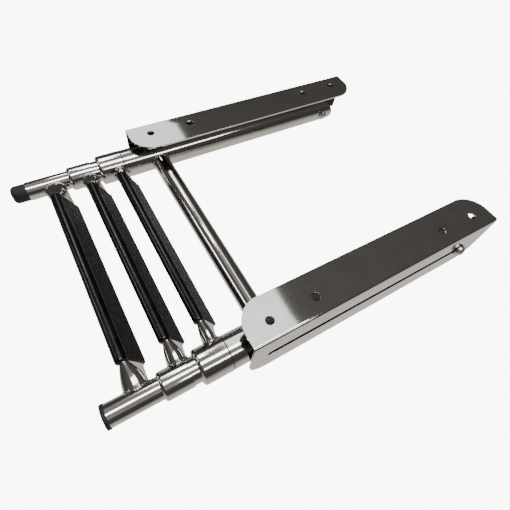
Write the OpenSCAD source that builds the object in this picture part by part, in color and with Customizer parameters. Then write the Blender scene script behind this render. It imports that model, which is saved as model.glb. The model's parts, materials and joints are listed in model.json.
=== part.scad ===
// Under-platform boat boarding ladder: two slotted rails carry a frame that slides out,
// swings down and telescopes in three stages.
// Origin: centre of the eight-hole pattern, on the top faces of the rails.
// +X points to the right rail, +Y inboard, +Z up. The stowed legs point to -Y.

/* [Rails] */
// Width over the outer faces of the two rails
overall_w = 370; // [350:5:420]
// Length of each rail
rail_len = 390; // [385:1:400]
// Width of the top flange
flange_w = 52.5; // [50:0.5:56]
// Height of the web, from the top face down
web_h = 84; // [80:1:95]
// Thickness of the rail sheet
sheet_t = 2.5; // [2:0.1:2.8]
// Outside radius of the bend between flange and web
bend_r = 3.5; // [3:0.5:5]
// Radius of the flange's inner corners
flange_corner_r = 32; // [20:1:38]
// Radius of the web's lower corners
web_corner_r = 28; // [15:1:32]
// Distance of the bolt holes from the rail's outer face
hole_inset = 21.5; // [18:0.5:26]
// Distance between the front and rear bolt holes
outer_hole_pitch = 329; // [310:1:340]
// Distance between the two inner bolt holes
inner_hole_pitch = 208; // [180:1:230]
// Radius of the bolt holes
hole_r = 5.25; // [4:0.25:6]

/* [Slot and pivot] */
// Depth of the tube axes below the top face
axis_drop = 39.5; // [38:0.5:44]
// Height of the slot
slot_h = 10.5; // [10.5:0.5:12]
// Distance of the stowed pivot from the rail's middle
pivot_y = 143.5; // [142:0.5:145]
// How far the pivot slides forward
slide_travel = 312; // [290:1:312]
// Radius of the pivot bolt's shank
bolt_r = 4; // [3:0.5:4]
// Radius of the pivot bolt's head
bolt_head_r = 8.2; // [7:0.1:9]

/* [Tubes] */
// Outer radii, from the upper tube to the leg tube
upper_r = 20; // [20:0.1:20.2]
second_r = 17.5; // [17.3:0.1:17.5]
third_r = 15; // [14.8:0.1:15]
leg_r = 12.5; // [12.3:0.1:12.5]
// Wall of the upper tube
upper_wall = 1.5; // [1.2:0.1:1.5]
// Wall of the telescoping tubes
inner_wall = 1.25; // [1:0.05:1.25]
// How far the upper tubes reach past the front of the rails
upper_reach = 17.9; // [15:0.1:25]
// Travel of each telescoping stage
stage_travel = 245; // [220:1:245]
// Running clearance between a tube and its plastic guides, on the radius
run_gap = 0.1; // [0.05:0.01:0.1]

/* [Collars and legs] */
// Outer radius of the second section's collars
second_collar_r = 20.4; // [19.5:0.1:21]
// Length of the second section's collars
second_collar_len = 34.5; // [31:0.5:36]
// Bare tube between the two collars
neck_len = 8.8; // [6:0.1:12]
// Outer radius of the third section's collars
third_collar_r = 16; // [15.8:0.1:16.4]
// Length of the third section's collars
third_collar_len = 32.3; // [30:0.1:36]
// How far the legs stick out of the third section's collars
leg_reach = 54; // [50:0.5:70]

/* [Rungs and treads] */
// Length of the treads
tread_len = 248; // [220:2:250]
// Depth of a tread, along its tilted face
tread_w = 48; // [46:0.5:52]
// Thickness of a tread
tread_t = 14; // [13:0.5:16]
// Tilt of the treads from the plane of the legs, in degrees
tread_tilt = 65; // [60:1:75]
// Depth of the flattened rung tube
rung_w = 37; // [30:0.5:38]
// Thickness of the flattened rung tube
rung_t = 10; // [8:0.5:11]
// Wall of the rung tube
rung_wall = 1.5; // [1:0.1:2]
// How far the treads sit behind their welds
tread_back = 4; // [0:0.5:5]
// Radius of the bare crossbar
crossbar_r = 12.7; // [11:0.1:14]

/* [Hidden] */
$fn = 96;

LEFT = -1;
RIGHT = 1;
steel = "silver";
plastic = "dimgray";
rubber = [0.12, 0.12, 0.12];

cut = 1;                 // how far a cutting tool runs past the face it cuts
web_gap = 1;             // play between an upper tube and the web
part_gap = 0.3;          // play between faces of parts that move apart
guide_len = 25;          // length of each guide bush
guide_flange = 0.8;      // its thin flange, seen as a dark line
glide_len = 40;          // length of each glide on a tube's inner end
glide_set_in = 2;        // bare tube behind a glide
collar_lip = 6;          // collar ahead of the tube it is fixed to
collar_round = 4;        // rounding of a collar's front edge
bolt_fit = 0.08;         // running clearance on the bolt, on the radius
head_flange_t = 0.8;     // the slide bush's flange under the bolt head
bolt_head_h = 8;
bolt_head_rim = 3.5;      // straight part of the head, under its dome
sleeve_r = 7;
nut_r = 6;
nut_h = 4;
washer_r = 8;
washer_t = 1;
block_w = 19;            // stop block, across the rail
block_l = 19;            // along the rail
block_h = 43;            // downwards
block_back = 8;          // distance from the rail's rear end
crossbar_back = 34.3;    // distance behind the rail's front end
leg_plug_len = 15;       // part of a foot that is inside the leg
foot_len = 19.3;         // rubber foot ahead of the leg's end
foot_step = 0.8;         // the foot's radius is this much under the leg's
foot_round = 6;
foot_flange_t = 4;
rung_back = [-8.7, -6.5, 33.5];   // rung weld behind the collar's rear, or the leg's end
tread_shift = [-2, 1, 1.5];       // each tread off centre on its rung
tread_lift = 1.5;        // tread's centre above the tube axes
ring_points = 36;        // points around a rung's skin
flare_steps = 5;         // rings along each flared end of a rung

web_outer_x = overall_w / 2;
web_inner_x = web_outer_x - sheet_t;
axis_x = web_inner_x - web_gap - upper_r;
axis_z = -axis_drop;
hole_x = web_outer_x - hole_inset;
rail_front = -rail_len / 2;

upper_bore = upper_r - upper_wall;
second_bore = second_r - inner_wall;
third_bore = third_r - inner_wall;
leg_bore = leg_r - inner_wall + 0.05;

// Stations along Y, from the upper tube's front end to the tips of the legs.
upper_front = rail_front - upper_reach;
second_collar_rear = upper_front - guide_flange - part_gap;
second_collar_front = second_collar_rear - second_collar_len;
third_collar_rear = second_collar_front - neck_len;
third_collar_front = third_collar_rear - third_collar_len;
leg_front = third_collar_front - leg_reach;

// Each inner tube ends behind a glide that stops on the guide bush ahead of it.
second_front = second_collar_front + collar_lip;
third_front = third_collar_front + collar_lip;
second_rear = upper_front + guide_len + stage_travel + glide_len + glide_set_in + part_gap;
third_rear = second_front + guide_len + stage_travel + glide_len + glide_set_in + part_gap;
leg_rear = third_front + guide_len + stage_travel + glide_len + glide_set_in + part_gap;

upper_rung_y = second_collar_rear + rung_back[0];
middle_rung_y = third_collar_rear + rung_back[1];
lower_rung_y = leg_front + rung_back[2];

// A cylinder or tube along +Y that starts at y.
module rod_y(r, y, len) {
    translate([0, y, 0]) rotate([-90, 0, 0]) cylinder(r = r, h = len);
}

module tube_y(r, bore, y, len) {
    difference() {
        rod_y(r, y, len);
        rod_y(bore, y - cut, len + 2 * cut);
    }
}

// A cylinder along +X that starts at x.
module rod_x(r, x, len) {
    translate([x, 0, 0]) rotate([0, 90, 0]) cylinder(r = r, h = len);
}

// Places children on one side of the ladder. They are drawn for the right side.
module on_side(side) {
    if (side == RIGHT) children();
    else mirror([1, 0, 0]) children();
}

module on_axis(side) {
    on_side(side) translate([axis_x, 0, axis_z]) children();
}

// ---- rails -------------------------------------------------------------------

// The L-section, with the web's outer face on x = 0 and the flange running inwards.
module rail_section() {
    translate([-flange_w, -sheet_t]) square([flange_w - bend_r, sheet_t]);
    translate([-sheet_t, -web_h]) square([sheet_t, web_h - bend_r]);
    translate([-bend_r, -bend_r]) intersection() {
        difference() {
            circle(bend_r);
            circle(bend_r - sheet_t);
        }
        square(bend_r);
    }
}

// Cutting tool for a square corner at the origin that becomes a round one. The
// material lies towards +X and +Y, and the tool is as high as h.
module corner_tool(r, h) {
    difference() {
        translate([-cut, -cut, -cut]) cube([r + cut, r + cut, h + 2 * cut]);
        translate([r, r, -2 * cut]) cylinder(r = r, h = h + 4 * cut);
    }
}

module flange_corner_tools() {
    for (end = [0, 1]) mirror([0, end, 0])
        translate([web_outer_x - flange_w, rail_front, -sheet_t])
            corner_tool(flange_corner_r, sheet_t);
}

module web_corner_tools() {
    for (end = [0, 1]) mirror([0, end, 0])
        translate([web_outer_x - sheet_t, rail_front, -web_h])
            rotate([90, 0, 90]) corner_tool(web_corner_r, sheet_t);
}

module slot_tool() {
    r = slot_h / 2;
    rear = pivot_y + part_gap;
    front = pivot_y - slide_travel - part_gap;
    translate([web_inner_x - cut, front, axis_z - r]) cube([sheet_t + 2 * cut, rear - front, slot_h]);
    for (y = [front, rear]) translate([0, y, axis_z]) rod_x(r, web_inner_x - cut, sheet_t + 2 * cut);
}

module bolt_hole_tools() {
    for (pitch = [outer_hole_pitch, inner_hole_pitch])
        for (end = [-1, 1])
            translate([hole_x, end * pitch / 2, -sheet_t - cut])
                cylinder(r = hole_r, h = sheet_t + 2 * cut);
}

module rail(side) {
    color(steel) on_side(side) difference() {
        translate([web_outer_x, rail_len / 2, 0]) rotate([90, 0, 0])
            linear_extrude(rail_len) rail_section();
        flange_corner_tools();
        web_corner_tools();
        slot_tool();
        bolt_hole_tools();
    }
}

module stop_block(side) {
    color(rubber) on_side(side)
        translate([web_inner_x - block_w, rail_len / 2 - block_back - block_l, -bend_r - block_h])
            cube([block_w, block_l, block_h]);
}

// ---- pivot carriage ------------------------------------------------------------

sleeve_out = upper_r + web_gap - part_gap;     // sleeve's outer end, from the tube axis
sleeve_in = upper_r + 0.5;                     // sleeve's inner end
head_x = upper_r + web_gap + sheet_t + part_gap + head_flange_t;

// A low domed button along +X: a rim, then an arc of a sphere.
module button(r, h, rim) {
    dome = h - rim;
    ball_r = (r * r + dome * dome) / (2 * dome);
    rotate([0, 90, 0]) intersection() {
        cylinder(r = r, h = h);
        translate([0, 0, h - ball_r]) sphere(r = ball_r);
    }
}

module on_pivot(side) {
    on_axis(side) translate([0, pivot_y, 0]) children();
}

module pivot_bolt(side) {
    color(steel) on_pivot(side) {
        translate([head_x, 0, 0]) button(bolt_head_r, bolt_head_h, bolt_head_rim);
        rod_x(bolt_r, -sleeve_in - washer_t - nut_h + 1.5, head_x + sleeve_in + washer_t + nut_h - 1.5);
    }
}

module slide_bush(side) {
    web_x = upper_r + web_gap;
    color(plastic) on_pivot(side) difference() {
        union() {
            rod_x(slot_h / 2 - run_gap, web_x, sheet_t + part_gap);
            rod_x(bolt_head_r + 0.8, web_x + sheet_t + part_gap, head_flange_t);
        }
        rod_x(bolt_r + 0.02, web_x - cut, sheet_t + 2 * cut + 1);
    }
}

module pivot_nut(side) {
    color(steel) on_pivot(side) difference() {
        translate([-sleeve_in - washer_t, 0, 0]) mirror([1, 0, 0]) button(nut_r, nut_h, 2);
        rod_x(bolt_r, -sleeve_in - washer_t - nut_h + 1.5, nut_h);
    }
}

module pivot_washers() {
    color(steel) for (side = [LEFT, RIGHT]) on_pivot(side) difference() {
        rod_x(washer_r, -sleeve_in - washer_t, washer_t - 0.1);
        rod_x(bolt_r + 0.1, -sleeve_in - washer_t - cut, washer_t + 2 * cut);
    }
}

// ---- upper section -------------------------------------------------------------

module upper_tube(side) {
    color(steel) on_axis(side) difference() {
        tube_y(upper_r, upper_bore, upper_front, pivot_y + upper_r - upper_front);
        translate([-upper_r - cut, pivot_y, -upper_r - cut]) difference() {
            cube([2 * (upper_r + cut), upper_r + cut, 2 * (upper_r + cut)]);
            translate([0, 0, upper_r + cut]) rod_x(upper_r, -cut, 2 * upper_r + 4 * cut);
        }
        translate([0, pivot_y, 0]) rod_x(sleeve_r, -upper_r - cut, 2 * (upper_r + cut));
    }
}

module pivot_sleeve(side) {
    color(steel) on_pivot(side) difference() {
        rod_x(sleeve_r, -sleeve_in, sleeve_in + sleeve_out);
        rod_x(bolt_r + bolt_fit, -sleeve_in - cut, sleeve_in + sleeve_out + 2 * cut);
    }
}

module crossbar() {
    reach = axis_x - sqrt(upper_r * upper_r - crossbar_r * crossbar_r) + 0.5;
    color(steel) difference() {
        translate([0, rail_front + crossbar_back, axis_z]) difference() {
            rod_x(crossbar_r, -reach, 2 * reach);
            rod_x(crossbar_r - inner_wall, -reach - cut, 2 * (reach + cut));
        }
        for (side = [LEFT, RIGHT]) on_axis(side) rod_y(upper_r, rail_front, 3 * crossbar_back);
    }
}

// A plastic bush in the front end of a tube, with a thin flange when it shows.
module guide(side, bore, shaft_r, y, flange_r) {
    color(plastic) on_axis(side) difference() {
        union() {
            rod_y(bore, y, guide_len);
            if (flange_r > 0) rod_y(flange_r, y - guide_flange, guide_flange);
        }
        rod_y(shaft_r + run_gap, y - 2 * cut, guide_len + 4 * cut);
    }
}

// A plastic glide around the inner end of a tube.
module glide(side, tube_r, bore, tube_rear) {
    color(plastic) on_axis(side)
        tube_y(bore - run_gap, tube_r, tube_rear - glide_set_in - glide_len, glide_len);
}

// ---- telescoping sections --------------------------------------------------------

module section_tube(side, r, bore, front, rear) {
    color(steel) on_axis(side) tube_y(r, bore, front, rear - front);
}

// A turned collar: rounded front edge, a lip around the next tube, a seat for its own tube.
module collar(side, r, front, len, tube_r, next_r) {
    lip_bore = next_r + part_gap;
    color(steel) on_axis(side) translate([0, front, 0]) rotate([-90, 0, 0])
        difference() {
            rotate_extrude() {
                translate([0, collar_round]) square([r, len - collar_round]);
                square([r - collar_round, collar_round]);
                translate([r - collar_round, collar_round]) circle(collar_round, $fn = 48);
            }
            translate([0, 0, -cut]) cylinder(r = lip_bore, h = len + 2 * cut);
            translate([0, 0, collar_lip]) cylinder(r = tube_r, h = len);
        }
}

// The outline of a flattened tube, with round ends and its long side on Y.
module flat_outline(w, t) {
    square([t, w - t], center = true);
    for (end = [-1, 1]) translate([0, end * (w - t) / 2]) circle(t / 2, $fn = 64);
}

// Stands an outline across X at a rung, with its top leant outboard by the tread's tilt.
module across(y) {
    translate([0, y + tread_back, axis_z + tread_lift]) rotate([90 - tread_tilt, 0, 0])
        rotate([90, 0, 90]) children();
}

// One ring of points of a rung's skin, on the right side. The place runs from 0, where
// the flare starts at the tread's end, to 1, on the wall of the tube it is welded to.
function flat_point(w, t, a) =
    let (along = (w - t) / 2 * sign(cos(a)) + t / 2 * cos(a), over = t / 2 * sin(a))
    [along * cos(tread_tilt) + over * sin(tread_tilt) + tread_back,
     over * cos(tread_tilt) - along * sin(tread_tilt) + tread_lift];

function round_point(w, h, a) = [w / 2 * cos(a - tread_tilt), h / 2 * sin(a - tread_tilt)];

function rung_point(tube_r, base, start, place, inset, a) =
    let (blend = place * (2 - place))
    let (flat = flat_point(rung_w - 2 * inset, rung_t - 2 * inset, a))
    let (round_end = round_point(base[0] - 2 * inset, base[1] - 2 * inset, a))
    let (yz = (1 - blend) * flat + blend * round_end)
    let (wall_x = axis_x - sqrt(tube_r * tube_r - round_end[1] * round_end[1]))
    [start + place * (wall_x - start), yz[0], yz[1]];

function rung_ring(side, tube_r, base, shift, place, inset) = [
    for (i = [0 : ring_points - 1])
        let (start = tread_len / 2 + side * shift)
        let (p = rung_point(tube_r, base, start, place, inset, 360 * i / ring_points))
        [side * p[0], p[1], p[2]]
];

// A flattened rung tube whose ends flare to round where they meet the tubes. Its skin
// runs from the left weld to the right one outside, and back along the bore.
module rung(y, tube_r, base, shift) {
    inward = [for (i = [flare_steps : -1 : 0]) i / flare_steps];
    outward = [for (i = [0 : flare_steps]) i / flare_steps];
    stops = concat(
        [for (place = inward) [LEFT, place, 0]],
        [for (place = outward) [RIGHT, place, 0]],
        [for (place = inward) [RIGHT, place, rung_wall]],
        [for (place = outward) [LEFT, place, rung_wall]]
    );
    points = [for (s = stops) each rung_ring(s[0], tube_r, base, shift, s[1], s[2])];
    faces = [
        for (i = [0 : len(stops) - 1], k = [0 : ring_points - 1])
            let (here = i * ring_points, there = (i + 1) % len(stops) * ring_points)
            let (next = (k + 1) % ring_points)
            each [[here + k, here + next, there + next], [here + k, there + next, there + k]]
    ];
    color(steel) translate([0, y, axis_z]) polyhedron(points, faces);
}

module tread(y, shift) {
    color(rubber) across(y) translate([0, 0, shift - tread_len / 2]) linear_extrude(tread_len) difference() {
        flat_outline(tread_w, tread_t);
        flat_outline(rung_w, rung_t);
    }
}

// ---- feet ------------------------------------------------------------------------

// A rubber foot with a rounded tip, and its plug inside the leg.
module foot(side) {
    r = leg_r - foot_step;
    tip = leg_front - foot_len;
    color(rubber) on_axis(side) {
        rod_y(leg_bore, leg_front, leg_plug_len);
        translate([0, tip, 0]) rotate([-90, 0, 0]) rotate_extrude() {
            translate([0, foot_round]) square([r, foot_len - foot_round]);
            square([r - foot_round, foot_round]);
            translate([r - foot_round, foot_round]) intersection() {
                circle(foot_round, $fn = 48);
                translate([0, -foot_round]) square(foot_round);
            }
        }
    }
}

module foot_plug(side) {
    color(rubber) on_axis(side) {
        rod_y(leg_bore, leg_front, leg_plug_len);
        rod_y(leg_r + 0.7, leg_front - foot_flange_t, foot_flange_t);
    }
}

// ---- nodes -----------------------------------------------------------------------

rail(LEFT);  // left_rail
rail(RIGHT);  // right_rail
stop_block(LEFT);  // left_stop_block
stop_block(RIGHT);  // right_stop_block
pivot_bolt(LEFT);  // left_pivot_bolt
pivot_bolt(RIGHT);  // right_pivot_bolt
slide_bush(LEFT);  // left_slide_bush
slide_bush(RIGHT);  // right_slide_bush
pivot_nut(LEFT);  // left_pivot_nut
pivot_nut(RIGHT);  // right_pivot_nut
pivot_washers();
upper_tube(LEFT);  // left_upper_tube
upper_tube(RIGHT);  // right_upper_tube
pivot_sleeve(LEFT);  // left_pivot_sleeve
pivot_sleeve(RIGHT);  // right_pivot_sleeve
crossbar();
guide(LEFT, upper_bore, second_r, upper_front, upper_r);  // left_upper_guide
guide(RIGHT, upper_bore, second_r, upper_front, upper_r);  // right_upper_guide
section_tube(LEFT, second_r, second_bore, second_front, second_rear);  // left_second_tube
section_tube(RIGHT, second_r, second_bore, second_front, second_rear);  // right_second_tube
collar(LEFT, second_collar_r, second_collar_front, second_collar_len, second_r, third_r);  // left_second_collar
collar(RIGHT, second_collar_r, second_collar_front, second_collar_len, second_r, third_r);  // right_second_collar
guide(LEFT, second_bore, third_r, second_front, 0);  // left_second_guide
guide(RIGHT, second_bore, third_r, second_front, 0);  // right_second_guide
glide(LEFT, second_r, upper_bore, second_rear);  // left_second_glide
glide(RIGHT, second_r, upper_bore, second_rear);  // right_second_glide
rung(upper_rung_y, second_collar_r, [17.5, 25], tread_shift[0]);  // upper_rung
tread(upper_rung_y, tread_shift[0]);  // upper_tread
section_tube(LEFT, third_r, third_bore, third_front, third_rear);  // left_third_tube
section_tube(RIGHT, third_r, third_bore, third_front, third_rear);  // right_third_tube
collar(LEFT, third_collar_r, third_collar_front, third_collar_len, third_r, leg_r);  // left_third_collar
collar(RIGHT, third_collar_r, third_collar_front, third_collar_len, third_r, leg_r);  // right_third_collar
guide(LEFT, third_bore, leg_r, third_front, 0);  // left_third_guide
guide(RIGHT, third_bore, leg_r, third_front, 0);  // right_third_guide
glide(LEFT, third_r, second_bore, third_rear);  // left_third_glide
glide(RIGHT, third_r, second_bore, third_rear);  // right_third_glide
rung(middle_rung_y, third_collar_r, [22, 23], tread_shift[1]);  // middle_rung
tread(middle_rung_y, tread_shift[1]);  // middle_tread
section_tube(LEFT, leg_r, leg_bore, leg_front, leg_rear);  // left_leg_tube
section_tube(RIGHT, leg_r, leg_bore, leg_front, leg_rear);  // right_leg_tube
glide(LEFT, leg_r, third_bore, leg_rear);  // left_leg_glide
glide(RIGHT, leg_r, third_bore, leg_rear);  // right_leg_glide
rung(lower_rung_y, leg_r, [27, 20], tread_shift[2]);  // lower_rung
tread(lower_rung_y, tread_shift[2]);  // lower_tread
foot(LEFT);  // left_foot
foot_plug(RIGHT);  // right_foot_plug
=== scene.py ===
"""Looks of the boat boarding ladder: polished steel, ribbed treads, welds, light and camera.

Everything is in metres, in the CAD frame: +X to the right rail, +Y inboard, +Z up.
"""

import json
import math

import bmesh
import bpy
from mathutils import Matrix, Vector


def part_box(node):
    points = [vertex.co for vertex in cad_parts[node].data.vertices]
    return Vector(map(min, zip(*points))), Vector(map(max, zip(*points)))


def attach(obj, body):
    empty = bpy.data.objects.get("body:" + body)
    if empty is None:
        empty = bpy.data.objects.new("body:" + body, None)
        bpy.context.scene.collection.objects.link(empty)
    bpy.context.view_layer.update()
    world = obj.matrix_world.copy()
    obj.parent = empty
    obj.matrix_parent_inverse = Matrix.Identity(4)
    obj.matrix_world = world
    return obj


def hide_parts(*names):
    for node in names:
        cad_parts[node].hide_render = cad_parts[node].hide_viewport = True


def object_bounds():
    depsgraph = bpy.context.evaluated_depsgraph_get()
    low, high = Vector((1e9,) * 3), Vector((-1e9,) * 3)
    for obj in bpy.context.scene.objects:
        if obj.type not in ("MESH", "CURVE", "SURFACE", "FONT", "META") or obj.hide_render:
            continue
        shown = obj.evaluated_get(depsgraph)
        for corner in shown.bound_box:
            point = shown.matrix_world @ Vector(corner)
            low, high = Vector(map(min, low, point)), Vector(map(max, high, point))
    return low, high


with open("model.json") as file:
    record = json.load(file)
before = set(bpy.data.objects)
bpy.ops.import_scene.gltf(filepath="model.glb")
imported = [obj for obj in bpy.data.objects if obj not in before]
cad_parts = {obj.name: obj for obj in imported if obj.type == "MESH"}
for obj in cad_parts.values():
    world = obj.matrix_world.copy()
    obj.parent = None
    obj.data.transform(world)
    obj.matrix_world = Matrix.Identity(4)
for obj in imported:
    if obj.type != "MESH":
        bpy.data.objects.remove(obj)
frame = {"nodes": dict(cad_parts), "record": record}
cad_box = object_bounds()

MM = 0.001
X, Y = 0, 1
SIDES = (-1, "left"), (1, "right")
NODES = frame["nodes"]
BODY_OF = {n: b for b, names in frame["record"]["behaviour"]["bodies"].items() for n in names}

# Sizes that the design fixes and the frame can't be asked for.
TREAD_TILT = math.radians(65)
TREAD_SIZE = (48 * MM, 14 * MM)
TREAD_BACK = 4 * MM          # a tread's centre behind its rung's welds
RUNG_SIZE = (37 * MM, 10 * MM)
RUNG_WALL = 1.5 * MM

# Each rung: its name, the collar or tube it is welded to, and the weld's width and height.
RUNGS = {
    "upper": ("second_collar", (17.5 * MM, 25 * MM)),
    "middle": ("third_collar", (22 * MM, 23 * MM)),
    "lower": ("leg_tube", (27 * MM, 20 * MM)),
}


# ---- shader helpers ----------------------------------------------------------------


class Shader:
    """A Principled material with short ways to add noise, ramps and bumps."""

    def __init__(self, name, **inputs):
        self.material = bpy.data.materials.new(name)
        self.material.use_nodes = True
        self.tree = self.material.node_tree
        self.surface = self.tree.nodes["Principled BSDF"]
        self.coords = self.add("ShaderNodeTexCoord").outputs["Object"]
        for key, value in inputs.items():
            self.surface.inputs[key.replace("_", " ")].default_value = value

    def add(self, kind, **settings):
        made = self.tree.nodes.new(kind)
        for key, value in settings.items():
            setattr(made, key, value)
        return made

    def link(self, output, target):
        self.tree.links.new(output, target)

    def stretched(self, scale):
        mapping = self.add("ShaderNodeMapping")
        mapping.inputs["Scale"].default_value = scale
        self.link(self.coords, mapping.inputs["Vector"])
        return mapping.outputs["Vector"]

    def noise(self, scale, detail=4.0, rough=0.55):
        """Noise whose features are 1/scale metres long on each axis."""
        made = self.add("ShaderNodeTexNoise")
        made.inputs["Scale"].default_value = 1.0
        made.inputs["Detail"].default_value = detail
        made.inputs["Roughness"].default_value = rough
        self.link(self.stretched(scale), made.inputs["Vector"])
        return made.outputs["Fac"]

    def remap(self, value, low, high, start=0.3, end=0.7):
        made = self.add("ShaderNodeMapRange")
        limits = {"From Min": start, "From Max": end, "To Min": low, "To Max": high}
        for key, number in limits.items():
            made.inputs[key].default_value = number
        self.link(value, made.inputs["Value"])
        return made.outputs["Result"]

    def ramp(self, value, low_colour, high_colour, start=0.35, end=0.65):
        made = self.add("ShaderNodeValToRGB")
        stops = made.color_ramp.elements
        stops[0].position, stops[0].color = start, (*low_colour, 1)
        stops[1].position, stops[1].color = end, (*high_colour, 1)
        self.link(value, made.inputs["Fac"])
        return made.outputs["Color"]

    def bump(self, height, distance, strength=1.0, under=None):
        made = self.add("ShaderNodeBump")
        made.inputs["Strength"].default_value = strength
        made.inputs["Distance"].default_value = distance
        self.link(height, made.inputs["Height"])
        if under is not None:
            self.link(under, made.inputs["Normal"])
        return made.outputs["Normal"]

    def feed(self, **outputs):
        for key, value in outputs.items():
            self.link(value, self.surface.inputs[key.replace("_", " ")])
        return self.material


SCRATCH_DEPTH = 0.0015 * MM
STEEL_SHADES = (0.66, 0.645, 0.62), (0.74, 0.725, 0.70)


def along(axis, fine, coarse):
    """Noise scales with long features on one axis and fine ones across it."""
    return tuple(coarse if i == axis else fine for i in range(3))


def bare_steel(name, axis):
    """What all the steel shares: a metal, its grain along one axis, its waves and its shade."""
    s = Shader(name, Metallic=1.0)
    grain = s.noise(along(axis, 900, 14), detail=6)
    waves = s.noise(along(axis, 16, 7), detail=1)
    shade = s.ramp(s.noise((24, 24, 24), detail=3), *STEEL_SHADES)
    return s, grain, waves, shade


def polished_steel(name, axis, gloss=(0.05, 0.13)):
    """Mirror-polished stainless steel with a faint grain along one axis and slight waves."""
    s, grain, waves, shade = bare_steel(name, axis)
    soft = s.bump(waves, 0.04 * MM)
    return s.feed(
        Base_Color=shade,
        Roughness=s.remap(grain, *gloss),
        Normal=s.bump(grain, SCRATCH_DEPTH, 0.5, under=soft),
    )


def sheet_steel():
    """The rails' sheet: polished outside. Faces that point down get a rough, dull finish, which
    is a guessed mill finish, and a near-black colour, which is painted shade under the flanges
    and through the holes.
    """
    s, grain, waves, shade = bare_steel("steel_sheet", Y)
    split = s.add("ShaderNodeSeparateXYZ")
    s.link(s.add("ShaderNodeTexCoord").outputs["Normal"], split.inputs["Vector"])
    # 1 on faces that point up or sideways, 0 on faces that point down: this mask sets both the
    # dull finish and the painted shade.
    polished_unshaded = s.remap(split.outputs["Z"], 0, 1, start=-0.9, end=-0.5)
    # This mix lays painted shade, a near-black colour, over the steel's tone on faces that point
    # down.
    finish = s.add("ShaderNodeMix", data_type="RGBA")
    s.link(polished_unshaded, finish.inputs["Factor"])
    # Near-black colour for faces that point down: painted shade under the flanges, not the
    # steel's own colour.
    s.link(s.ramp(grain, (0.09, 0.088, 0.085), (0.14, 0.137, 0.13)), finish.inputs["A"])
    s.link(shade, finish.inputs["B"])
    soft = s.bump(waves, 0.12 * MM)
    return s.feed(
        Base_Color=finish.outputs["Result"],
        Roughness=s.remap(polished_unshaded, 0.42, 0.06, start=0, end=1),
        Normal=s.bump(grain, SCRATCH_DEPTH, 0.04, under=soft),
    )


def weld_steel():
    """Bare weld metal: brighter ripples with heat-stained hollows."""
    s = Shader("weld_steel", Metallic=1.0)
    ripple = s.noise((700, 700, 700), detail=3)
    stain = s.noise((160, 160, 160), detail=2)
    colour = s.ramp(stain, (0.46, 0.43, 0.39), (0.78, 0.76, 0.73))
    return s.feed(
        Base_Color=colour,
        Roughness=s.remap(ripple, 0.16, 0.34),
        Normal=s.bump(ripple, 0.12 * MM, 0.8),
    )


def tread_plastic():
    """Black moulded plastic with fine notches across the ribs."""
    s = Shader("tread_plastic", Specular_IOR_Level=0.45)
    notch = s.add("ShaderNodeTexWave", wave_type="BANDS", bands_direction="X", wave_profile="SIN")
    notch.inputs["Scale"].default_value = 1.0
    s.link(s.stretched((110, 1, 1)), notch.inputs["Vector"])
    grain = s.noise((1500, 1500, 1500), detail=3)
    worn = s.noise((60, 60, 60), detail=4)
    colour = s.ramp(worn, (0.002, 0.002, 0.0025), (0.006, 0.006, 0.007))
    cut = s.bump(notch.outputs["Fac"], 0.12 * MM, 0.5)
    return s.feed(
        Base_Color=colour,
        Roughness=s.remap(worn, 0.16, 0.3),
        Normal=s.bump(grain, 0.02 * MM, 0.25, under=cut),
    )


def guide_plastic():
    """Smooth black nylon with a faint turned finish."""
    s = Shader("guide_plastic", Specular_IOR_Level=0.45)
    turned = s.noise((300, 2500, 300), detail=2)
    blotch = s.noise((90, 90, 90))
    return s.feed(
        Base_Color=s.ramp(blotch, (0.012, 0.012, 0.013), (0.026, 0.026, 0.028)),
        Roughness=s.remap(turned, 0.32, 0.48),
        Normal=s.bump(turned, 0.02 * MM, 0.6),
    )


def foot_rubber():
    """Matte black rubber, dusty and slightly pebbled."""
    s = Shader("foot_rubber", Specular_IOR_Level=0.3)
    pebble = s.noise((1100, 1100, 1100), detail=3)
    dust = s.noise((60, 60, 60), detail=5)
    return s.feed(
        Base_Color=s.ramp(dust, (0.016, 0.017, 0.019), (0.042, 0.043, 0.047)),
        Roughness=s.remap(dust, 0.5, 0.72),
        Normal=s.bump(pebble, 0.06 * MM, 0.7),
    )


MATERIALS = {
    "steel_y": polished_steel("steel_lengthwise", Y),
    "steel_x": polished_steel("steel_crosswise", X),
    "steel_rail": sheet_steel(),
    "steel_bolt": polished_steel("steel_turned", X, gloss=(0.3, 0.42)),
    "weld": weld_steel(),
    "tread": tread_plastic(),
    "guide": guide_plastic(),
    "rubber": foot_rubber(),
}


# ---- mesh helpers --------------------------------------------------------------------


def smooth(obj, angle):
    """Smooth shading that stays sharp over real edges."""
    obj.data.shade_smooth()
    obj.data.set_sharp_from_angle(angle=math.radians(angle))


def piece(name, mesh, material, body):
    """A finished mesh object that rides on a CAD body."""
    obj = bpy.data.objects.new(name, mesh)
    bpy.context.scene.collection.objects.link(obj)
    obj.data.materials.clear()
    obj.data.materials.append(MATERIALS[material])
    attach(obj, body)
    return obj


def skin(name, rings):
    """A closed mesh through rings of points, the last ring joined back to the first."""
    count = len(rings[0])
    points = [p for ring in rings for p in ring]
    faces = []
    for i in range(len(rings)):
        here, there = i * count, (i + 1) % len(rings) * count
        for k in range(count):
            after = (k + 1) % count
            faces.append((here + k, here + after, there + after, there + k))
    mesh = bpy.data.meshes.new(name)
    mesh.from_pydata(points, [], faces)
    work = bmesh.new()
    work.from_mesh(mesh)
    bmesh.ops.recalc_face_normals(work, faces=work.faces)
    work.to_mesh(mesh)
    work.free()
    return mesh


SAME_POINT = 0.002 * MM      # points this close are one point
EDGE_ROUND = 0.3 * MM        # how far a sharp edge is rounded off


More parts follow.
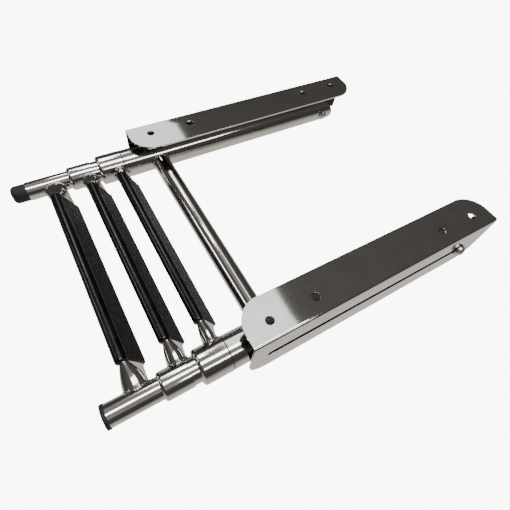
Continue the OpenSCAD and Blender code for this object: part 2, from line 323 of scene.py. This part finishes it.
def softened(node, material):
    """Stands a copy of a CAD node in for it, with its sharp edges slightly rounded."""
    source = NODES[node]
    mesh = source.data.copy()
    work = bmesh.new()
    work.from_mesh(mesh)
    bmesh.ops.remove_doubles(work, verts=work.verts, dist=SAME_POINT)
    bmesh.ops.dissolve_degenerate(work, edges=work.edges, dist=SAME_POINT)
    bmesh.ops.dissolve_limit(
        work, angle_limit=math.radians(0.4), verts=work.verts, edges=work.edges)
    work.to_mesh(mesh)
    work.free()
    obj = piece(node + "_finished", mesh, material, BODY_OF[node])
    obj.data.normals_split_custom_set([(0, 0, 0)] * len(mesh.loops))
    smooth(obj, 30)
    bevel = obj.modifiers.new("edge", "BEVEL")
    bevel.width = EDGE_ROUND
    bevel.segments = 2
    bevel.limit_method = "ANGLE"
    bevel.angle_limit = math.radians(40)
    bevel.harden_normals = True
    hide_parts(node)


def slot_of(node):
    return next(s["material_slot"] for s in frame["record"]["subparts"] if s["node"] == node)


# ---- rungs, welds and treads -----------------------------------------------------------

RING = 96            # points round a rung
FLARE = 16           # rings along a flared end


class Tube:
    """Axis and radius of a leg tube or collar, read from its box."""

    def __init__(self, node):
        low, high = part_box(node)
        centre = (low + high) / 2
        self.x, self.z = abs(centre.x), centre.z
        self.r = (high.z - low.z) / 2


def flat_point(size, angle, centre):
    """A point on a flattened tube's outline, leant over by the treads' tilt, as (y, z)."""
    width, thick = size
    side = (math.cos(angle) > 1e-9) - (math.cos(angle) < -1e-9)
    run = (width - thick) / 2 * side + thick / 2 * math.cos(angle)
    over = thick / 2 * math.sin(angle)
    c, s = math.cos(TREAD_TILT), math.sin(TREAD_TILT)
    return centre[0] + run * c + over * s, centre[1] + over * c - run * s


class Rung:
    """Where one rung lies and the shape of its flared ends."""

    def __init__(self, name, fixed_to, weld):
        low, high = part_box(name + "_tread")
        self.name = name
        self.body = BODY_OF[name + "_rung"]
        self.tread_ends = {-1: low.x, 1: high.x}
        self.tread_centre = ((low.y + high.y) / 2, (low.z + high.z) / 2)
        self.tube = Tube("right_" + fixed_to)
        self.weld = weld
        self.weld_y = self.tread_centre[0] - TREAD_BACK

    def point(self, side, place, inset, angle):
        """A point of the skin: place 0 is the tread's end, place 1 the tube's wall."""
        blend = place * (2 - place)
        size = (RUNG_SIZE[0] - 2 * inset, RUNG_SIZE[1] - 2 * inset)
        flat = flat_point(size, angle, self.tread_centre)
        width, height = self.weld[0] - 2 * inset, self.weld[1] - 2 * inset
        lean = angle - TREAD_TILT
        end_y = self.weld_y + width / 2 * math.cos(lean)
        end_z = height / 2 * math.sin(lean)
        wall = side * (self.tube.x - math.sqrt(self.tube.r ** 2 - end_z ** 2))
        start = self.tread_ends[side]
        return Vector((
            start + place * (wall - start),
            (1 - blend) * flat[0] + blend * end_y,
            (1 - blend) * flat[1] + blend * (self.tube.z + end_z),
        ))

    def ring(self, side, place, inset=0.0):
        return [self.point(side, place, inset, 2 * math.pi * k / RING) for k in range(RING)]


def make_rung(rung):
    """The flattened tube through a tread, flared where it is welded, with its bore."""
    outward = [i / FLARE for i in range(FLARE + 1)]
    inward = outward[::-1]
    rings = [rung.ring(-1, p) for p in inward]
    rings += [rung.ring(1, p) for p in outward]
    rings += [rung.ring(1, p, RUNG_WALL) for p in inward]
    rings += [rung.ring(-1, p, RUNG_WALL) for p in outward]
    name = rung.name + "_rung"
    obj = piece(name + "_finished", skin(name, rings), "steel_x", rung.body)
    smooth(obj, 50)
    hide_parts(name)


BEAD_SIDES = 10
PUDDLE_DEPTH = 0.18          # how far a bead narrows between puddles, of its radius
RUNG_BEAD = (1.25 * MM, 26)  # a bead's radius and its number of puddles
CROSSBAR_BEAD = (1.3 * MM, 24)


def bead(name, seam, outward, shape, body):
    """A weld bead along a closed seam, with the ripples of separate puddles."""
    radius, ripples = shape
    count = len(seam)
    rings = []
    for k, here in enumerate(seam):
        run = (seam[(k + 1) % count] - seam[k - 1]).normalized()
        out = (outward[k] - run * outward[k].dot(run)).normalized()
        up = run.cross(out)
        puddle = 0.5 + 0.5 * math.cos(2 * math.pi * ripples * k / count)
        r = radius * (1 - PUDDLE_DEPTH * (1 - puddle))
        rings.append([
            here + (out * math.cos(a) + up * math.sin(a)) * r
            for a in (2 * math.pi * i / BEAD_SIDES for i in range(BEAD_SIDES))])
    obj = piece(name, skin(name, rings), "weld", body)
    smooth(obj, 80)


def weld_rung(rung):
    """The beads where a rung meets its tubes. They face away from the rung's axis."""
    for side, word in SIDES:
        seam = rung.ring(side, 1.0)
        axis = Vector((side * rung.tube.x, rung.weld_y, rung.tube.z))
        reach = [p - axis for p in seam]
        outward = [Vector((r.x, 3.2 * r.y, 2.2 * r.z)) for r in reach]
        bead(f"{rung.name}_weld_{word}", seam, outward, RUNG_BEAD, rung.body)


def weld_crossbar():
    """The fillet beads where the bare crossbar meets the two upper tubes."""
    low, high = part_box("crossbar")
    y, z, r = (low.y + high.y) / 2, (low.z + high.z) / 2, (high.z - low.z) / 2
    tube = Tube("right_upper_tube")
    for side, word in SIDES:
        seam, outward = [], []
        for k in range(RING):
            a = 2 * math.pi * k / RING
            dz = r * math.sin(a)
            x = tube.x - math.sqrt(tube.r ** 2 - dz ** 2)
            seam.append(Vector((side * x, y + r * math.cos(a), z + dz)))
            outward.append(Vector((-side * 0.5, math.cos(a), math.sin(a))))
        bead(f"crossbar_weld_{word}", seam, outward, CROSSBAR_BEAD, BODY_OF["crossbar"])


FACE_POINTS = 136          # points across one face of a tread, eight to a rib
EDGE_POINTS = 32           # points round one edge
RIB_PITCH = 2.0 * MM
RIB_DEPTH = 0.5 * MM
PLAIN_DEPTH = 0.3 * MM     # how far the plain skin lies below the beads
BEAD_WIDTH = 1.6 * MM
END_ROUND = 3.0 * MM
END_RINGS = 5              # steps round a tread's end


def outline(size, depth):
    """Points (run, over) round a flat shape with round ends; depth(run, half) cuts its faces."""
    width, thick = size
    half, radius = (width - thick) / 2, thick / 2
    edge_r = radius - depth(half, half)
    points = []
    for face, start in ((1, 0.5), (-1, 1.5)):
        for i in range(FACE_POINTS):
            run = half * (1 - 2 * i / FACE_POINTS) * face
            points.append((run, face * (radius - depth(run, half))))
        for i in range(EDGE_POINTS):
            a = math.pi * (start + i / EDGE_POINTS)
            points.append((-face * half + edge_r * math.cos(a), edge_r * math.sin(a)))
    return points


def rib_depth(run, half):
    """How far a tread's skin lies below its full thickness: fine ribs between two beads."""
    edge = half - abs(run)
    if edge < BEAD_WIDTH:
        return PLAIN_DEPTH * (0.5 + 0.5 * math.cos(2 * math.pi * edge / BEAD_WIDTH))
    wave = 0.5 + 0.5 * math.cos(2 * math.pi * run / RIB_PITCH)
    return PLAIN_DEPTH + RIB_DEPTH * wave ** 2


def make_tread(rung):
    """The black sleeve on a rung: ribbed faces, rounded ends and a bore for the tube."""
    c, s = math.cos(TREAD_TILT), math.sin(TREAD_TILT)
    cy, cz = rung.tread_centre

    def ring(x, points):
        return [Vector((x, cy + run * c + over * s, cz + over * c - run * s))
                for run, over in points]

    def rounded(side, turn):
        """A ring of the rounded end: turn 0 is the end face, 1 the full outline."""
        a = math.pi / 2 * turn
        inset = END_ROUND * (1 - math.sin(a))
        x = rung.tread_ends[side] - side * END_ROUND * (1 - math.cos(a))
        size = (TREAD_SIZE[0] - 2 * inset, TREAD_SIZE[1] - 2 * inset)
        return ring(x, outline(size, rib_depth))

    turns = [i / END_RINGS for i in range(END_RINGS + 1)]
    rings = [rounded(-1, t) for t in turns] + [rounded(1, t) for t in reversed(turns)]
    bore = outline(RUNG_SIZE, lambda run, half: 0)
    rings += [ring(rung.tread_ends[1], bore), ring(rung.tread_ends[-1], bore)]
    name = rung.name + "_tread"
    obj = piece(name + "_finished", skin(name, rings), "tread", rung.body)
    smooth(obj, 75)
    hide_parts(name)


# ---- finishing the CAD nodes -------------------------------------------------------------

SOFTENED = tuple(
    f"{side}_{part}" for side in ("left", "right")
    for part in ("rail", "stop_block", "second_collar", "third_collar",
                 "pivot_bolt", "pivot_nut")
) + ("left_foot", "right_foot_plug")


def material_of(name):
    if name == "crossbar":
        return "steel_x"
    if name.endswith("rail"):
        return "steel_rail"
    if "pivot" in name:
        return "steel_bolt"
    return {"foot_rubber": "rubber", "guide_plastic": "guide"}.get(slot_of(name), "steel_y")


def finish_nodes():
    """Gives each CAD node but the rungs and treads its material, and rounds some edges."""
    for name, obj in NODES.items():
        if name in SOFTENED:
            softened(name, material_of(name))
        elif not name.endswith(("rung", "tread")):
            obj.data.materials.clear()
            obj.data.materials.append(MATERIALS[material_of(name)])


# ---- stage: floor, light and camera --------------------------------------------------------

STUDIO_RADIUS = 12.0
STUDIO_HEIGHT = 14.0
SWEEP_RADIUS = 5.0           # where the floor curves up into the wall
SWEEP_RINGS = 12
STUDIO_GLOW = 8.5


def floor_level():
    """Just under the ladder's lowest reach, when it is folded down and pulled right out."""
    joints = frame["record"]["behaviour"]["joints"]
    travel = sum(j["range_m"][1] for j in joints if j["name"].endswith("_extend"))
    return cad_box[0].z - (cad_box[1].y - cad_box[0].y) - travel


def make_studio():
    """A white floor that sweeps up into a round wall. Only the camera sees it, so the
    steel reflects the room light below instead."""
    level = floor_level()
    flat = STUDIO_RADIUS - SWEEP_RADIUS
    profile = [(0.0, 0.0), (flat, 0.0)]
    for i in range(1, SWEEP_RINGS + 1):
        a = math.pi / 2 * i / SWEEP_RINGS
        profile.append((flat + SWEEP_RADIUS * math.sin(a), SWEEP_RADIUS * (1 - math.cos(a))))
    profile += [(STUDIO_RADIUS, STUDIO_HEIGHT), (0.0, STUDIO_HEIGHT)]
    work = bmesh.new()
    points = [work.verts.new((r, 0, level + up)) for r, up in profile]
    edges = [work.edges.new(pair) for pair in zip(points, points[1:])]
    bmesh.ops.spin(work, geom=points + edges, axis=(0, 0, 1), cent=(0, 0, 0),
                   angle=2 * math.pi, steps=64)
    bmesh.ops.remove_doubles(work, verts=work.verts, dist=MM)
    mesh = bpy.data.meshes.new("studio")
    work.to_mesh(mesh)
    work.free()
    studio = bpy.data.objects.new("studio", mesh)
    bpy.context.scene.collection.objects.link(studio)
    studio.visible_glossy = studio.visible_diffuse = False
    studio.visible_transmission = studio.visible_shadow = False
    s = Shader("studio", Roughness=0.9, Specular_IOR_Level=0.2,
               Emission_Color=(1, 1, 1, 1), Emission_Strength=STUDIO_GLOW)
    paper = s.noise((3, 3, 3))
    s.feed(Base_Color=s.ramp(paper, (0.86, 0.86, 0.86), (0.9, 0.9, 0.9)))
    mesh.materials.append(s.material)


def softbox(name, centre, size, radiance, colour, turn=0):
    """A rectangular light at centre that faces straight down, out of the camera's view."""
    light = bpy.data.lights.new(name, "AREA")
    light.shape = "RECTANGLE"
    light.size, light.size_y = size
    light.energy = radiance * math.pi * size[0] * size[1]
    light.color = colour
    obj = bpy.data.objects.new(name, light)
    obj.location = centre
    obj.rotation_euler = (0, 0, math.radians(turn))
    obj.visible_camera = False
    bpy.context.scene.collection.objects.link(obj)


CEILING = 3.0
BULB_HEIGHT = CEILING - 0.1
PANEL_HEIGHT = CEILING + 0.3     # above the lamps, so that it hides none of them
WHITE = (1.0, 1.0, 1.0)
WARM = (1.0, 0.95, 0.88)
COOL = (0.95, 0.99, 1.0)

# Each lamp's name, centre, size, brightness and colour, and how far it is turned in degrees.
LAMPS = (
    ("ceiling", (0.2, -0.2, PANEL_HEIGHT), (8.0, 2.4), 0.18, WARM),
    ("window", (-2.52, 0.86, CEILING), (4.7, 0.7), 1.7, COOL, -3),
    ("bulb_1", (-1.83, -0.05, BULB_HEIGHT), (0.26, 0.36), 20.0, WHITE),
    ("bulb_2", (-2.42, -0.05, BULB_HEIGHT), (0.26, 0.36), 20.0, WHITE),
    ("left_lamp", (-3.2, -0.02, CEILING), (1.3, 0.9), 5.0, WHITE),
    ("middle_lamp", (0.28, 0.1, CEILING), (0.85, 2.2), 8.0, WHITE),
    ("right_lamp", (2.8, 0.8, CEILING), (0.75, 1.8), 8.0, WHITE),
    ("front_lamp", (-2.6, -4.4, CEILING), (2.6, 1.0), 8.0, WHITE),
)

# How bright the room is in each direction: height from -1, straight down, to 1, and level.
ROOM_ENDS = (-1, 0.78), (1, 0.12)
ROOM_STOPS = (-0.6, 0.72), (-0.3, 0.42), (-0.02, 0.06), (0.3, 0.06)


def make_light():
    """A dim brown room with a pale floor, ceiling lamps, two small bulbs and a window."""
    world = bpy.data.worlds.new("room")
    bpy.context.scene.world = world
    world.use_nodes = True
    tree = world.node_tree
    coords = tree.nodes.new("ShaderNodeTexCoord")
    split = tree.nodes.new("ShaderNodeSeparateXYZ")
    tree.links.new(coords.outputs["Generated"], split.inputs["Vector"])
    height = tree.nodes.new("ShaderNodeMapRange")
    height.inputs["From Min"].default_value = -1
    tree.links.new(split.outputs["Z"], height.inputs["Value"])
    ramp = tree.nodes.new("ShaderNodeValToRGB")
    tree.links.new(height.outputs["Result"], ramp.inputs["Fac"])
    tree.links.new(ramp.outputs["Color"], tree.nodes["Background"].inputs["Color"])
    stops = ramp.color_ramp.elements
    for element, (up, level) in zip((stops[0], stops[1]), ROOM_ENDS):
        element.position, element.color = (up + 1) / 2, (*(level * c for c in WARM), 1)
    for up, level in ROOM_STOPS:
        stop = stops.new((up + 1) / 2)
        stop.color = (*(level * c for c in WARM), 1)
    for lamp in LAMPS:
        softbox(*lamp)


CAMERA_AT = (0.272, -0.2905, 0.3566)
CAMERA_AZIMUTH = 50.51       # degrees from +Y towards -X
CAMERA_DOWN = 55.84          # degrees below the horizon
CAMERA_ROLL = 10.76          # degrees
LENS = 26.0                  # on a 36 mm sensor


def make_camera():
    """The camera that looks down at the stowed ladder from its front right."""
    data = bpy.data.cameras.new("camera")
    data.lens, data.sensor_width = LENS, 36
    data.clip_start = 0.01
    camera = bpy.data.objects.new("camera", data)
    heading = Matrix.Rotation(math.radians(CAMERA_AZIMUTH), 3, "Z")
    tilt = Matrix.Rotation(math.radians(90 - CAMERA_DOWN), 3, "X")
    roll = Matrix.Rotation(math.radians(CAMERA_ROLL), 3, "Z")
    camera.matrix_world = Matrix.Translation(CAMERA_AT) @ (heading @ tilt @ roll).to_4x4()
    bpy.context.scene.collection.objects.link(camera)
    bpy.context.scene.camera = camera


# ---- everything ----------------------------------------------------------------------------

make_camera()
make_studio()
make_light()
finish_nodes()
for rung_name, (fixed_to, weld_size) in RUNGS.items():
    rung = Rung(rung_name, fixed_to, weld_size)
    make_rung(rung)
    make_tread(rung)
    weld_rung(rung)
weld_crossbar()
